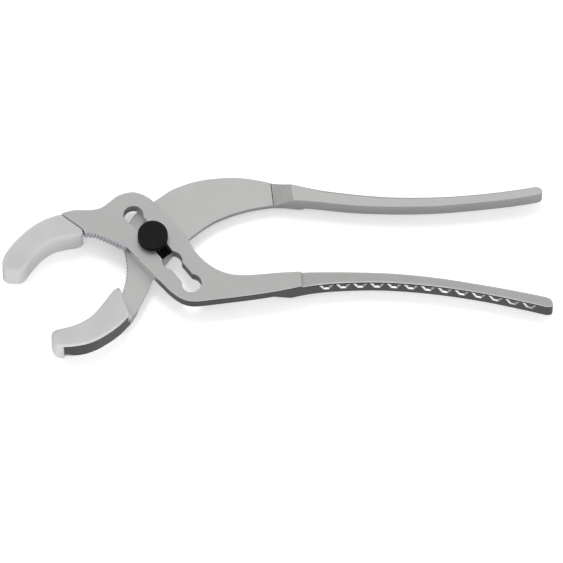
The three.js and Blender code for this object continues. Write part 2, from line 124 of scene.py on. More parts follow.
REAR_OUT = [
    ("s", [(-72.6, 14.8), (-72.3, 19.5), (-70.8, 25.2), (-68.2, 30.0), (-64.0, 34.0), (-59, 36.9), (-56.0, 39.0),
           (-50.5, 42.9), (-41.7, 46.4), (-33.8, 48.1), (-24.3, 48.9), (-18.5, 48.7), (-12.8, 47.9), (-7, 46.7),
           (-3.6, 45.8), (0.7, 44.4), (6.4, 43.0), (16, 40.9), (25.8, 39.5), (39.2, 37.9), (52.6, 37.0),
           (66, 36.9), (79.4, 37.4), (92.8, 38.6), (106.2, 40.3), (116.4, 42.0)], "grip"),
    ("s", [(116.4, 42.0), (118.8, 42.0), (120.5, 40.6), (120.2, 38.7), (118.0, 37.8)], "tip"),
    ("s", [(118.0, 37.8), (106.2, 35.8), (88.3, 33.7), (70.5, 32.2), (52.6, 31.9), (34.7, 32.5), (22.4, 33.7),
           (12.2, 34.8), (3.0, 35.2), (-3.2, 34.8), (-7, 34.3), (-12.8, 33.3), (-18.5, 31.8), (-24.3, 29.8),
           (-30, 27.2), (-33.8, 24.9), (-38.4, 21.4), (-43, 17.4), (-47.2, 12.9), (-51.0, 8.6), (-53.6, 5.2),
           (-56.6, 2.4), (-58.7, -0.8), (-60.9, -6.4), (-63.2, -11.8), (-65.3, -16.1), (-66.9, -19.0),
           (-69.6, -22.4)], "inner"),
    ("l", [(-69.6, -22.4), (-70.1, -21.0), (-72.1, -16.4), (-73.6, -11.9)], "end"),
]
REAR_TEETH = [(-73.5, -11.0), (-72.2, -7), (-71.3, -3.3), (-70.8, 1.0), (-70.8, 5.6), (-71.4, 10.3), (-72.6, 14.8)]
REAR_JAW = [
    ("s", [(-70.7, -23.6), (-73.8, -27.1), (-77.5, -30.3), (-81.2, -32.9), (-84.8, -35.1), (-90, -37.2), (-96.0, -38.3),
           (-100.3, -38.4)], ""),
    ("s", [(-100.3, -38.4), (-102.2, -36.9), (-103.0, -34.6), (-102.3, -32.8)], ""),
    ("s", [(-102.3, -32.8), (-94.2, -30.8), (-85.5, -25.7), (-79.9, -18.8), (-77.3, -15.1), (-75.9, -13.0)], ""),
    ("l", [(-75.9, -13.0), (-74.9, -12.2), (-72.9, -16.9)], ""),
]
REAR_JAW_LINK = [(-70.7, -23.6), (-68.5, -20.8), (-70.0, -15.0), (-73.0, -12.6), (-75.6, -13.2), (-74.5, -19.0)]
REAR_COVER = [
    ("s", [(-74.9, -9.3), (-76.2, -9.6), (-77.9, -11.0), (-79.7, -13.5), (-82.2, -17), (-87.5, -23.4), (-95, -27.9),
           (-104.1, -30.3)], "inner"),
    ("s", [(-104.1, -30.3), (-105.8, -31.5), (-106.0, -34.6), (-105.3, -37.6), (-103.4, -39.0)], "tip"),
    ("s", [(-103.4, -39.0), (-100.4, -38.9), (-96.0, -38.6), (-90, -37.5), (-84.8, -35.4), (-81.2, -33.2), (-77.5, -30.6),
           (-73.8, -27.4), (-70.6, -23.7)], "back"),
    ("l", [(-70.6, -23.7), (-70.5, -21.3), (-72.4, -16.5), (-74.0, -11.2), (-74.9, -9.3)], "end"),
]


# ----------------------------------------------------------- curve helpers
def catmull(ctrl, per=24):
    """Uniform Catmull-Rom through the points, finely sampled."""
    c = [np.array(p, float) for p in ctrl]
    out = []
    n = len(c)
    for i in range(n - 1):
        p0, p1, p2, p3 = c[max(i - 1, 0)], c[i], c[i + 1], c[min(i + 2, n - 1)]
        v0, v1 = (p2 - p0) * 0.5, (p3 - p1) * 0.5
        for k in range(per):
            t = k / per
            out.append((2 * p1 - 2 * p2 + v0 + v1) * t ** 3 + (-3 * p1 + 3 * p2 - 2 * v0 - v1) * t ** 2 + v0 * t + p1)
    out.append(c[-1])
    return np.array(out)


def resample(pts, step):
    d = np.r_[0, np.cumsum(np.linalg.norm(np.diff(pts, axis=0), axis=1))]
    n = max(1, int(round(d[-1] / step)))
    s = np.linspace(0, d[-1], n + 1)
    return np.c_[np.interp(s, d, pts[:, 0]), np.interp(s, d, pts[:, 1])]


def trace(sections, step=0.7):
    """Closed outline as points with the name of the section each is on."""
    pts, tags = [], []
    for kind, ctrl, tag in sections:
        if kind == "s":
            got = resample(catmull(ctrl), step)
            if tag in ("back", "inner", "grip"):
                for _ in range(6):
                    got[1:-1] = (got[:-2] + 2 * got[1:-1] + got[2:]) / 4
        else:
            got = []
            for a, b in zip(ctrl[:-1], ctrl[1:]):
                seg = resample(np.array([a, b], float), step * 2)
                got += list(seg[:-1])
            got.append(np.array(ctrl[-1], float))
        for p in got:
            if pts and np.hypot(*(pts[-1] - p)) < 0.04:
                continue
            pts.append(np.array(p, float))
            tags.append(tag)
    while np.hypot(*(pts[0] - pts[-1])) < 0.04:
        pts.pop()
        tags.pop()
    return pts, tags


def saw(ctrl, sign):
    fine = catmull(ctrl, 40)
    d = np.r_[0, np.cumsum(np.linalg.norm(np.diff(fine, axis=0), axis=1))]
    count = int(round(d[-1] / TOOTH_PITCH))

    def at(t):
        s = t * d[-1]
        return np.array([np.interp(s, d, fine[:, 0]), np.interp(s, d, fine[:, 1])])
    pts = []
    for i in range(count + 1):
        pts.append(at(i / count))
        if i < count:
            t = (i + 0.5) / count
            g = at(min(1, t + 0.005)) - at(max(0, t - 0.005))
            g /= np.hypot(*g)
            p = at(t)
            flat = 0.12
            side = np.array([-g[1], g[0]]) * sign * TOOTH_DEPTH
            pts.append(p + side - g * flat)
            pts.append(p + side + g * flat)
    return pts


def signed_area(pts):
    p = np.array(pts)
    q = np.roll(p, -1, axis=0)
    return 0.5 * float(np.sum(p[:, 0] * q[:, 1] - q[:, 0] * p[:, 1]))


def normals(pts):
    """Outward unit normal and mitre factor at each vertex of a counter-clockwise outline."""
    p = np.array(pts)
    a = p - np.roll(p, 1, axis=0)
    b = np.roll(p, -1, axis=0) - p
    a /= np.maximum(np.linalg.norm(a, axis=1, keepdims=True), 1e-9)
    b /= np.maximum(np.linalg.norm(b, axis=1, keepdims=True), 1e-9)
    n = np.c_[a[:, 1] + b[:, 1], -a[:, 0] - b[:, 0]]
    ln = np.linalg.norm(n, axis=1)
    k = np.maximum(ln / 2, 0.55)
    return n / np.maximum(ln, 1e-9)[:, None] / k[:, None]


def along(a, b=0.0):
    return (PIVOT[0] + SLOT_DIR[0] * a + SLOT_DIR[1] * b, PIVOT[1] + SLOT_DIR[1] * a - SLOT_DIR[0] * b)


def smooth01(t):
    t = np.clip(t, 0, 1)
    return t * t * (3 - 2 * t)


# ------------------------------------------------------------ mesh helpers
def to_object(name, verts, faces, mats=(), face_mats=None):
    me = bpy.data.meshes.new(name)
    v = [((x - DRAW_X) * MM, (y - DRAW_Y) * MM, z * MM) for x, y, z in verts]
    me.from_pydata(v, [], faces)
    for m in mats:
        me.materials.append(m)
    if face_mats is not None:
        for f, m in zip(me.polygons, face_mats):
            f.material_index = m
    me.validate()
    bm = bmesh.new()
    bm.from_mesh(me)
    bmesh.ops.remove_doubles(bm, verts=bm.verts, dist=1e-7)
    bmesh.ops.recalc_face_normals(bm, faces=bm.faces)
    bm.to_mesh(me)
    bm.free()
    ob = bpy.data.objects.new(name, me)
    bpy.context.scene.collection.objects.link(ob)
    return ob


def slab(name, outline, zt, zb, top_r, bot_r, holes=(), cuts_t=(), cuts_b=(), cut_u=None, draft=None,
         mats=(), seg=5, top_mat=0, side_mat=1, bot_mat=0, hole_mat=None, hole_r=0.3, mid=1, wall_mat=None):
    """A flat part with rounded edges. zt and zb give the top and bottom height over the outline, top_r and bot_r
    are arrays of (inset, drop) of the rounding at each vertex, and draft is the wall's inset at the bottom."""
    pts = [np.array(p, float) for p in outline]
    if signed_area(pts) < 0:
        raise ValueError(name + " outline must be counter-clockwise")
    P = np.array(pts)
    N = normals(pts)
    verts, faces, fm = [], [], []

    def ring(P, N, inset, z):
        base = len(verts)
        q = P - N * inset[:, None]
        for (x, y), zz in zip(q, z):
            verts.append((x, y, zz))
        return list(range(base, base + len(P)))

    def loops(P, N, rt, rb, drf, mat):
        n = len(P)
        ztop = np.array([zt(x, y) for x, y in P])
        zbot = np.array([zb(x, y) for x, y in P])
        rings = []
        for k in range(seg + 1):
            th = math.pi / 2 * k / seg
            rings.append(ring(P, N, rt[:, 0] * (1 - math.sin(th)), ztop - rt[:, 1] * (1 - math.cos(th))))
        for k in range(1, mid):
            t = k / mid
            rings.append(ring(P, N, drf * t, (ztop - rt[:, 1]) * (1 - t) + (zbot + rb[:, 1]) * t))
        for k in range(seg + 1):
            th = math.pi / 2 * (1 - k / seg)
            rings.append(ring(P, N, drf + rb[:, 0] * (1 - math.sin(th)), zbot + rb[:, 1] * (1 - math.cos(th))))
        for a, b in zip(rings[:-1], rings[1:]):
            for i in range(n):
                j = (i + 1) % n
                faces.append((a[i], b[i], b[j], a[j]))
                fm.append(mat[i] if isinstance(mat, list) else mat)
        return rings[0], rings[-1]

    drf = np.zeros(len(P)) if draft is None else np.array(draft)
    t0, b0 = loops(P, N, np.array(top_r), np.array(bot_r), drf, side_mat if wall_mat is None else wall_mat)
    hole_t, hole_b = [], []
    for h in holes:
        H = np.array(h)
        if signed_area(h) < 0:
            H = H[::-1]
        n = -normals(list(H))
        r = np.full((len(H), 2), hole_r)
        a, b = loops(H, n, r, r, np.zeros(len(H)), side_mat if hole_mat is None else hole_mat)
        hole_t.append(a)
        hole_b.append(b)

    U = P[:, 0] if cut_u is None else np.array([cut_u(x, y) for x, y in P])

    def cap(loop, hole_loops, cuts, mat, flip):
        lines = [None, *cuts, None]
        for lo, hi in zip(lines[:-1], lines[1:]):
            inside = [(lo is None or U[i] >= lo - 1e-6) and (hi is None or U[i] <= hi + 1e-6) for i in range(len(loop))]
            sub = [loop[i] for i in range(len(loop)) if inside[i]]
            if lo is not None and hi is not None or lo is not None:
                # keep the walking order, starting just after the gap
                start = next(i for i in range(len(loop)) if inside[i] and not inside[i - 1])
                sub = [loop[(start + k) % len(loop)] for k in range(len(loop)) if inside[(start + k) % len(loop)]]
            polys = [[Vector(verts[i]).to_2d().to_3d() for i in sub]]
            idx = list(sub)
            if lo is None:
                for h in hole_loops:
                    polys.append([Vector(verts[i]).to_2d().to_3d() for i in h])
                    idx += h
            for tri in tessellate_polygon(polys):
                f = tuple(idx[k] for k in tri)
                a, b, c = (Vector(verts[k]) for k in f)
                if ((b - a).cross(c - a).z < 0) != flip:
                    f = f[::-1]
                faces.append(f)
                fm.append(mat(lo, hi) if callable(mat) else mat)

    cap(t0, hole_t, cuts_t, top_mat, False)
    cap(b0, hole_b, cuts_b, bot_mat, True)
    return to_object(name, verts, faces, mats, fm)


def insert_at(pts, tags, values, u, where):
    """Adds vertices where the outline crosses u = value, in the region where(x, y) is true."""
    out, ot = [], []
    n = len(pts)
    for i in range(n):
        a, b = pts[i], pts[(i + 1) % n]
        out.append(a)
        ot.append(tags[i])
        ua, ub = u(*a), u(*b)
        hits = sorted(((v - ua) / (ub - ua), v) for v in values if (v - ua) * (v - ub) < 0)
        for t, v in hits:
            p = a + (b - a) * t
            if where(*p):
                out.append(p)
                ot.append(tags[i])
    # drop vertices that came too close to an inserted one
    keep, kt = [], []
    for i, p in enumerate(out):
        on = any(abs(u(*p) - v) < 1e-6 for v in values)
        near = any(np.hypot(*(p - q)) < 0.12 for j, q in enumerate(out)
                   if j != i and abs(j - i) < 3 and any(abs(u(*q) - v) < 1e-6 for v in values))
        if on or not near:
            keep.append(p)
            kt.append(tags[0] if False else ot[i])
    return keep, kt


def apply_boolean(ob, other, op):
    m = ob.modifiers.new("cut", "BOOLEAN")
    m.operation = op
    m.object = other
    m.solver = "EXACT"
    try:
        m.solver = "MANIFOLD"
    except TypeError:
        pass
    m.material_mode = "TRANSFER" if hasattr(m, "material_mode") and m.solver == "EXACT" else getattr(m, "material_mode", "INDEX")
    dg = bpy.context.evaluated_depsgraph_get()
    new = bpy.data.meshes.new_from_object(ob.evaluated_get(dg))
    ob.modifiers.clear()
    old = ob.data
    ob.data = new
    bpy.data.meshes.remove(old)
    om = other.data
    bpy.data.objects.remove(other)
    bpy.data.meshes.remove(om)


def finish_shading(ob, angle=32.0, weighted=True):
    me = ob.data
    me.polygons.foreach_set("use_smooth", [True] * len(me.polygons))
    me.set_sharp_from_angle(angle=math.radians(angle))
    if weighted:
        m = ob.modifiers.new("normals", "WEIGHTED_NORMAL")
        m.keep_sharp = True
        m.weight = 60


# ---------------------------------------------------------------- materials
def new_mat(name):
    m = bpy.data.materials.new(name)
    m.use_nodes = True
    nt = m.node_tree
    return m, nt, nt.nodes["Principled BSDF"]


def node(nt, kind, **props):
    n = nt.nodes.new(kind)
    for k, v in props.items():
        setattr(n, k, v)
    return n


def ramp(nt, src, stops):
    r = node(nt, "ShaderNodeValToRGB")
    while len(r.color_ramp.elements) < len(stops):
        r.color_ramp.elements.new(1.0)
    for k, (pos, c) in enumerate(stops):
        r.color_ramp.elements[k].position = pos
        r.color_ramp.elements[k].color = (*c, 1) if len(c) == 3 else c
    nt.links.new(src, r.inputs["Fac"])
    return r.outputs["Color"]


def noise(nt, vec, scale, detail=3.0, rough=0.55):
    n = node(nt, "ShaderNodeTexNoise")
    n.inputs["Scale"].default_value = scale
    n.inputs["Detail"].default_value = detail
    n.inputs["Roughness"].default_value = rough
    nt.links.new(vec, n.inputs["Vector"])
    return n.outputs["Fac"]


def metal(name, tone, rough, grain=0.0, grain_scale=1500.0, streak=0.0, streak_scale=(60.0, 2200.0, 60.0),
          metallic=1.0, tint=(1.0, 0.995, 0.985), spread=0.06, pits=0.0, glow=0.0):
    m, nt, bsdf = new_mat(name)
    tc = node(nt, "ShaderNodeTexCoord")
    obj = tc.outputs["Object"]
    big = noise(nt, obj, 90.0, 2.0)
    fine = noise(nt, obj, grain_scale, 3.0, 0.6)
    lo = [max(0.0, tone * t * (1 - spread)) for t in tint]
    hi = [min(1.0, tone * t * (1 + spread)) for t in tint]
    mix = node(nt, "ShaderNodeMath", operation="MULTIPLY_ADD")
    nt.links.new(fine, mix.inputs[0])
    mix.inputs[1].default_value = 0.7
    half = node(nt, "ShaderNodeMath", operation="MULTIPLY")
    nt.links.new(big, half.inputs[0])
    half.inputs[1].default_value = 0.3
    nt.links.new(half.outputs[0], mix.inputs[2])
    nt.links.new(ramp(nt, mix.outputs[0], [(0.3, lo), (0.7, hi)]), bsdf.inputs["Base Color"])
    r = ramp(nt, fine, [(0.25, (rough * 0.88,) * 3), (0.75, (min(1, rough * 1.12),) * 3)])
    nt.links.new(r, bsdf.inputs["Roughness"])
    bsdf.inputs["Metallic"].default_value = metallic
    # glow gives the surface an emission of its own: painted light
    if glow > 0:
        bsdf.inputs["Emission Color"].default_value = (1, 1, 1, 1)
        bsdf.inputs["Emission Strength"].default_value = glow
    height = None
    if grain > 0:
        height = fine
    if streak > 0:
        mp = node(nt, "ShaderNodeMapping")
        mp.inputs["Scale"].default_value = streak_scale
        nt.links.new(obj, mp.inputs["Vector"])
        st = node(nt, "ShaderNodeTexNoise")
        st.inputs["Scale"].default_value = 1.0
        st.inputs["Detail"].default_value = 2.0
        nt.links.new(mp.outputs["Vector"], st.inputs["Vector"])
        if height is None:
            height = st.outputs["Fac"]
        else:
            add = node(nt, "ShaderNodeMath", operation="MULTIPLY_ADD")
            nt.links.new(st.outputs["Fac"], add.inputs[0])
            add.inputs[1].default_value = streak
            nt.links.new(height, add.inputs[2])
            height = add.outputs[0]
    if pits > 0:
        vo = node(nt, "ShaderNodeTexNoise")
        vo.inputs["Scale"].default_value = 520.0
        vo.inputs["Detail"].default_value = 1.0
        nt.links.new(obj, vo.inputs["Vector"])
        pit = ramp(nt, vo.outputs["Fac"], [(0.28, (0, 0, 0)), (0.36, (1, 1, 1))])
        bw = node(nt, "ShaderNodeRGBToBW")
        nt.links.new(pit, bw.inputs[0])
        add = node(nt, "ShaderNodeMath", operation="MULTIPLY_ADD")
        nt.links.new(bw.outputs[0], add.inputs[0])
        add.inputs[1].default_value = pits
        nt.links.new(height if height is not None else fine, add.inputs[2])
        height = add.outputs[0]
    if height is not None:
        b = node(nt, "ShaderNodeBump")
        b.inputs["Strength"].default_value = max(grain, 0.05)
        b.inputs["Distance"].default_value = 0.00006
        nt.links.new(height, b.inputs["Height"])
        nt.links.new(b.outputs["Normal"], bsdf.inputs["Normal"])
    return m


GROUND = metal("ground_face", 0.615, 0.36, grain=0.12, grain_scale=2600.0, spread=0.05)
SATIN = metal("satin_face", 0.665, 0.42, grain=0.35, grain_scale=1700.0, spread=0.06, pits=0.2)
FLANK = metal("forged_flank", 0.66, 0.24, grain=0.25, grain_scale=900.0, spread=0.10)
# rear lever's flanks: a darker, partly diffuse copy of the flank steel that the lamps light to mid-grey, painted
# reflection of the floor
INNER_FLANK_PAINTED_REFLECTION = metal("inner_flank_painted_reflection", 0.36, 0.42, grain=0.25, grain_scale=1100.0, spread=0.10, metallic=0.35)
POCKET = metal("grip_pocket", 0.85, 0.14, grain=0.12, grain_scale=1300.0, spread=0.05)
RAMPM = metal("shot_blasted_ramp", 0.50, 0.5, grain=0.9, grain_scale=1500.0, spread=0.16, pits=0.3)
TOOTH = metal("cut_edge", 0.50, 0.35, grain=0.15, grain_scale=1500.0, spread=0.12, metallic=0.4,
              tint=(0.95, 0.98, 1.06))
# hole and jaw-end walls: near-white, non-metallic and glowing, painted light standing in for the light that reaches
# these walls
BORE_PAINTED_LIGHT = metal("bore_wall_painted_light", 0.97, 0.45, grain=0.1, grain_scale=1500.0, spread=0.05, metallic=0.0, glow=0.16)
GRIPFACE = metal("grip_face", 0.54, 0.36, grain=0.2, grain_scale=1800.0, spread=0.07)
# near-black strip on the rear lever's small step: painted shade along the step
STEP_PAINTED_SHADE = metal("step_painted_shade", 0.10, 0.5, grain=0.2, grain_scale=1500.0, spread=0.2)
STEEL = metal("turned_steel", 0.6, 0.3, grain=0.15, grain_scale=2400.0)


def plastic_white():
    m, nt, b = new_mat("soft_white_plastic")
    tc = node(nt, "ShaderNodeTexCoord")
    f = noise(nt, tc.outputs["Object"], 70.0, 3.0)
    nt.links.new(ramp(nt, f, [(0.3, (0.455, 0.455, 0.462)), (0.7, (0.49, 0.49, 0.497))]), b.inputs["Base Color"])
    g = noise(nt, tc.outputs["Object"], 1400.0, 2.0)
    nt.links.new(ramp(nt, g, [(0.3, (0.40,) * 3), (0.7, (0.52,) * 3)]), b.inputs["Roughness"])
    b.inputs["Subsurface Weight"].default_value = 0.35
    b.inputs["Subsurface Radius"].default_value = (0.004, 0.004, 0.0045)
    b.inputs["Subsurface Scale"].default_value = 1.0
    b.inputs["IOR"].default_value = 1.45
    bp = node(nt, "ShaderNodeBump")
    bp.inputs["Strength"].default_value = 0.12
    bp.inputs["Distance"].default_value = 0.00008
    nt.links.new(f, bp.inputs["Height"])
    nt.links.new(bp.outputs["Normal"], b.inputs["Normal"])
    return m


def plastic_black():
    m, nt, b = new_mat("black_plastic")
    tc = node(nt, "ShaderNodeTexCoord")
    g = noise(nt, tc.outputs["Object"], 1800.0, 3.0)
    nt.links.new(ramp(nt, g, [(0.3, (0.006, 0.0055, 0.0058)), (0.7, (0.010, 0.009, 0.0095))]), b.inputs["Base Color"])
    nt.links.new(ramp(nt, g, [(0.3, (0.42,) * 3), (0.7, (0.55,) * 3)]), b.inputs["Roughness"])
    b.inputs["Specular IOR Level"].default_value = 0.12
    bp = node(nt, "ShaderNodeBump")
    bp.inputs["Strength"].default_value = 0.25
    bp.inputs["Distance"].default_value = 0.00005
    nt.links.new(g, bp.inputs["Height"])
    nt.links.new(bp.outputs["Normal"], b.inputs["Normal"])
    return m


WHITE = plastic_white()
BLACK = plastic_black()


# -------------------------------------------------------------- grip pockets
def grip_cutters(name, wall_pts, outward, first, count, pitch, depth=0.7, z_top=12.0, z_bot=7.3, taper=None):
    """Trapezoid pockets along the outer flank of a handle, wide at the face side, in a single row."""
    w = np.array(wall_pts)
    order = np.argsort(w[:, 0])
    xs, ys = w[order, 0], w[order, 1]
    verts, faces = [], []
    for side in (1,):
        for i in range(count):
            xc = first + i * pitch
            dep = depth if taper is None else depth * taper(xc)
            over = 1.2
            yc = np.interp(xc, xs, ys)
            g = np.array([2.0, np.interp(xc + 1, xs, ys) - np.interp(xc - 1, xs, ys)])
            g /= np.hypot(*g)
            out = np.array([-g[1], g[0]])
            if out[1] * outward < 0:
                out = -out
            base = len(verts)
            # at the floor of the pocket, at the flank and outside it
            for n, lo_half, hi_half, lo_z in ((-dep, 0.85, 2.85, z_bot + 0.6), (0.0, 1.3, 3.4, z_bot),
                                              (over, 1.3 + 0.4, 3.4 + 0.4, z_bot - 0.6)):
                for half, z in ((lo_half, lo_z), (hi_half, z_top)):
                    zz = z if side > 0 else 16.0 - z
                    p = np.array([xc, yc]) + out * n
                    a, b = p - g * half, p + g * half
                    verts.append((a[0], a[1], zz))
                    verts.append((b[0], b[1], zz))
            q = [[base + 4 * k + t for t in (0, 1, 3, 2)] for k in range(3)]
            faces.append(tuple(q[0]))
            faces.append(tuple(q[2]))
            for lo, hi in ((q[0], q[1]), (q[1], q[2])):
                for k in range(4):
                    faces.append((lo[k], lo[(k + 1) % 4], hi[(k + 1) % 4], hi[k]))
    return to_object(name, verts, faces, (POCKET,) * 4, [3] * len(faces))


# ------------------------------------------------------------- front lever
def slot_outline(n=14):
    phi = math.asin(NECK_H / SEAT_R)
    pts = []

    def arc(c, a0, a1):
        for k in range(n + 1):
            a = a0 + (a1 - a0) * k / n
            pts.append(along(c + SEAT_R * math.cos(a), SEAT_R * math.sin(a)))
    seats = [(i - 1) * SEAT_PITCH for i in range(4)]
    arc(seats[0], phi, 2 * math.pi - phi)
    for c in seats[1:-1]:
        arc(c, math.pi + phi, 2 * math.pi - phi)
    arc(seats[-1], -math.pi + phi, math.pi - phi)
    for c in seats[-2:0:-1]:
        arc(c, phi, math.pi - phi)
    return [np.array(p) for p in pts]


def edge_profile(pts, tags, plain, grip, teeth, grip_from, grip_to):
    """(inset, drop) of the edge rounding at each vertex."""
    r = []
    for (x, y), t in zip(pts, tags):
        if t == "teeth" or (t == "end" and teeth[0] > 0.5):
            r.append(teeth)
        elif t == "grip":
            w = smooth01((x - grip_from[0]) / (grip_from[1] - grip_from[0])) * (
                1 - smooth01((x - grip_to[0]) / (grip_to[1] - grip_to[0])))
            fade = 1 - 0.55 * smooth01((x - 30) / 70)
            r.append((plain[0] + (grip[0] - plain[0]) * w * fade, plain[1] + (grip[1] - plain[1]) * w * fade))
        else:
            r.append(plain)
    # smooth along the outline, but keep the teeth sharp
    a = np.array(r, float)
    for _ in range(6):
        b = (np.roll(a, 1, axis=0) + a + np.roll(a, -1, axis=0)) / 3
        keep = np.array([t == "teeth" for t in tags])
        b[keep] = a[keep]
        a = b
    return a


def lever(name, sections, teeth_ctrl, zt, zb, knots_t, knots_b, u, plain_t, plain_b, holes, draft_w, top_mat,
          side_mat, where, top_of):
    pts, tags = trace(sections)
    saws = saw(teeth_ctrl, 1)
    pts += saws[:-1] if np.hypot(*(saws[-1] - pts[0])) < 0.3 else saws
    tags += ["teeth"] * (len(pts) - len(tags))
    if signed_area(pts) < 0:
        pts, tags = pts[::-1], tags[::-1]
    pts, tags = insert_at(pts, tags, sorted(set(knots_t) | set(knots_b)), u, where)
    top = edge_profile(pts, tags, plain_t, (1.0, 1.15), (0.08, 0.08), (9, 20), (114, 122))
    bot = edge_profile(pts, tags, plain_b, (0.8, 0.9), (0.95, 2.3), (9, 20), (114, 122))
    draft = [draft_w(x, y, t) for (x, y), t in zip(pts, tags)]
    for _ in range(8):
        d = np.array(draft)
        draft = list((np.roll(d, 1) + d + np.roll(d, -1)) / 3)
    # the wall list puts the glowing bore material (painted light) on the jaw-end walls, and hole_mat puts it on the
    # slot walls
    ob = slab(name, pts, zt, zb, top, bot, holes=holes, cuts_t=knots_t, cuts_b=knots_b, cut_u=u, draft=draft,
              mats=(top_mat, side_mat, RAMPM, POCKET, TOOTH, FLANK, STEP_PAINTED_SHADE, BORE_PAINTED_LIGHT, GRIPFACE), seg=6, mid=2,
              top_mat=top_of, wall_mat=[{"teeth": 4, "end": 7}.get(t, 1) for t in tags], bot_mat=0, hole_mat=7)
    return ob, pts, tags


def piecewise(knots):
    xs, zs = zip(*knots)
    return lambda v: float(np.interp(v, xs, zs))


f_top = piecewise([(-200, FRONT_Z1), (9.1, FRONT_Z1), (10.0, HANDLE_Z1), (60, HANDLE_Z1), (200, HANDLE_Z1)])
f_bot = piecewise([(-200, FRONT_Z0), (-4, FRONT_Z0), (4, HANDLE_Z0), (200, HANDLE_Z0)])


def u_front(x, y):
    return x + 0.10 * (y + 5.0)


front, fpts, ftags = lever(
    "front_lever_fine", FRONT_OUT, FRONT_TEETH,
    lambda x, y: f_top(u_front(x, y)), lambda x, y: f_bot(u_front(x, y)),
    (9.1, 10.0), (-4.0, 4.0), u_front, (0.5, 0.5), (0.45, 0.6), [slot_outline()],
    lambda x, y, t: 0.0, GROUND, FLANK, lambda x, y: x > -8, lambda lo, hi: 8 if lo == 10.0 else 0)

fjaw, _ = trace(FRONT_JAW, 0.9)
if signed_area(fjaw) < 0:
    fjaw = fjaw[::-1]
jaw = slab("jaw_a", fjaw, lambda x, y: JAW_Z1, lambda x, y: JAW_Z0, np.full((len(fjaw), 2), 0.5),
           np.full((len(fjaw), 2), 0.5), mats=(GROUND, FLANK), seg=4)
apply_boolean(front, jaw, "UNION")
link = [np.array(p, float) for p in FRONT_JAW_LINK]
if signed_area(link) < 0:
    link = link[::-1]
jl = slab("link_a", link, lambda x, y: JAW_Z1, lambda x, y: FRONT_Z0, np.full((len(link), 2), 0.05),
          np.full((len(link), 2), 0.05), mats=(GROUND, FLANK), seg=1)
apply_boolean(front, jl, "UNION")
wall = [p for p, t in zip(fpts, ftags) if t == "grip" and p[0] > 5]
cut = grip_cutters("cut_a", wall, -1, 20.8, 13, 7.8, taper=lambda x: 1.0 - 0.25 * smooth01((x - 60) / 60))
apply_boolean(front, cut, "DIFFERENCE")

# -------------------------------------------------------------- rear lever
r_top = piecewise([(-200, REAR_Z1), (-4.4, REAR_Z1), (-4.0, REAR_Z1 - 0.35), (-3.6, REAR_Z1 - 0.35), (4.9, HANDLE_Z1),
                   (200, HANDLE_Z1)])
r_bot = piecewise([(-200, REAR_Z0), (9.2, REAR_Z0), (10.2, HANDLE_Z0), (200, HANDLE_Z0)])


def u_rear(x, y):
    return x + 0.112 * (y - 40.0)


def rear_draft(x, y, t):
    if t in ("teeth", "end"):
        return 0.0
    w = 1 - smooth01((x + 6) / 14.0)
    near_jaw = smooth01((y + 22) / 8.0)
    return 1.1 * w * near_jaw


rear, rpts, rtags = lever(
    "rear_lever_fine", REAR_OUT, REAR_TEETH,
    lambda x, y: r_top(u_rear(x, y)), lambda x, y: r_bot(u_rear(x, y)),
    (-4.4, -4.0, -3.6, 4.9), (9.2, 10.2), u_rear, (0.3, 0.3), (1.0, 1.6), [],
    # the rear lever's walls take the painted-reflection copy of the flank steel
    rear_draft, SATIN, INNER_FLANK_PAINTED_REFLECTION, lambda x, y: x > -8 and y > 20,
    # the step strip (u -4.4 to -4.0) gets the painted step shade, the strips after it the ramp finish
    lambda lo, hi: 6 if lo == -4.4 else 2 if lo in (-4.0, -3.6) else 0)



def jaw_bottom(pts):
    """Rounding of the jaw's lower edge, larger towards the tip."""
    r = []
    for x, y in pts:
        w = smooth01((-93.0 - x) / 8.0)
        r.append((0.5 + 1.6 * w, 0.5 + 4.0 * w))
    return np.array(r)


rjaw, _ = trace(REAR_JAW, 0.9)
if signed_area(rjaw) < 0:
    rjaw = rjaw[::-1]
jaw = slab("jaw_b", rjaw, lambda x, y: JAW_Z1, lambda x, y: JAW_Z0, np.full((len(rjaw), 2), 0.5),
           jaw_bottom(rjaw), mats=(SATIN, INNER_FLANK_PAINTED_REFLECTION, RAMPM, POCKET, TOOTH, FLANK), seg=4, side_mat=5)
apply_boolean(rear, jaw, "UNION")
link = [np.array(p, float) for p in REAR_JAW_LINK]
if signed_area(link) < 0:
    link = link[::-1]
jl = slab("link_b", link, lambda x, y: REAR_Z1 - 0.05, lambda x, y: JAW_Z0, np.full((len(link), 2), 0.05),
          np.full((len(link), 2), 0.05), mats=(SATIN, INNER_FLANK_PAINTED_REFLECTION, RAMPM, POCKET, TOOTH, FLANK), seg=1, side_mat=5)
apply_boolean(rear, jl, "UNION")


def cyl(name, r, z0, z1, x, y, n=64):
    pts = [np.array((x + r * math.cos(2 * math.pi * k / n), y + r * math.sin(2 * math.pi * k / n))) for k in range(n)]
    vs = [(p[0], p[1], z0) for p in pts] + [(p[0], p[1], z1) for p in pts]
    fs = [tuple(range(n))[::-1], tuple(range(n, 2 * n))] + [(i, (i + 1) % n, n + (i + 1) % n, n + i) for i in range(n)]
    return to_object(name, vs, fs)


def slot_block(name, a0, a1, half, z0, z1):
    q = [along(a0, -half), along(a1, -half), along(a1, half), along(a0, half)]
    if signed_area(q) < 0:
        q = q[::-1]
    vs = [(x, y, z0) for x, y in q] + [(x, y, z1) for x, y in q]
    fs = [(3, 2, 1, 0), (4, 5, 6, 7)] + [(i, (i + 1) % 4, 4 + (i + 1) % 4, 4 + i) for i in range(4)]
    return to_object(name, vs, fs)


